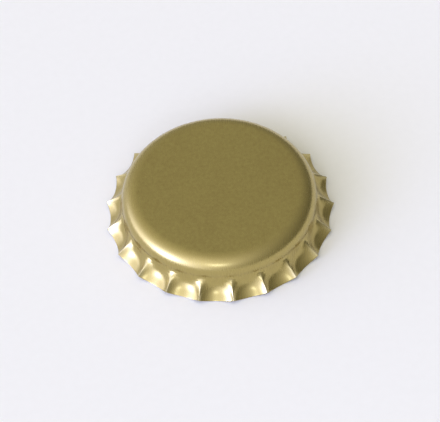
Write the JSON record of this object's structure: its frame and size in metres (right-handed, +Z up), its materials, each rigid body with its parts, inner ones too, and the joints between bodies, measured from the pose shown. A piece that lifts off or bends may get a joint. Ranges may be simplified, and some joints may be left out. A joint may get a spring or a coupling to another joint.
{
  "type": "bottle cap",
  "caption": "Pry-off crown cap in gold lacquered tinplate, with a plain panel, a rounded shoulder and a flared, fluted skirt.",
  "frame": {"origin": "on the table under the middle of the panel, with the cap standing on the edge of its skirt", "axes": "+Z up along the axis of the cap, +X through the crest of one flute"},
  "size_m": [0.0319, 0.032, 0.006],
  "materials": {
    "gold_tinplate": "satin gold lacquer",
    "liner_plastic": "moulded, waxy"
  },
  "bodies": {
    "root": {"crown_shell": "gold_tinplate", "sealing_liner": "liner_plastic"}
  },
  "joints": []
}
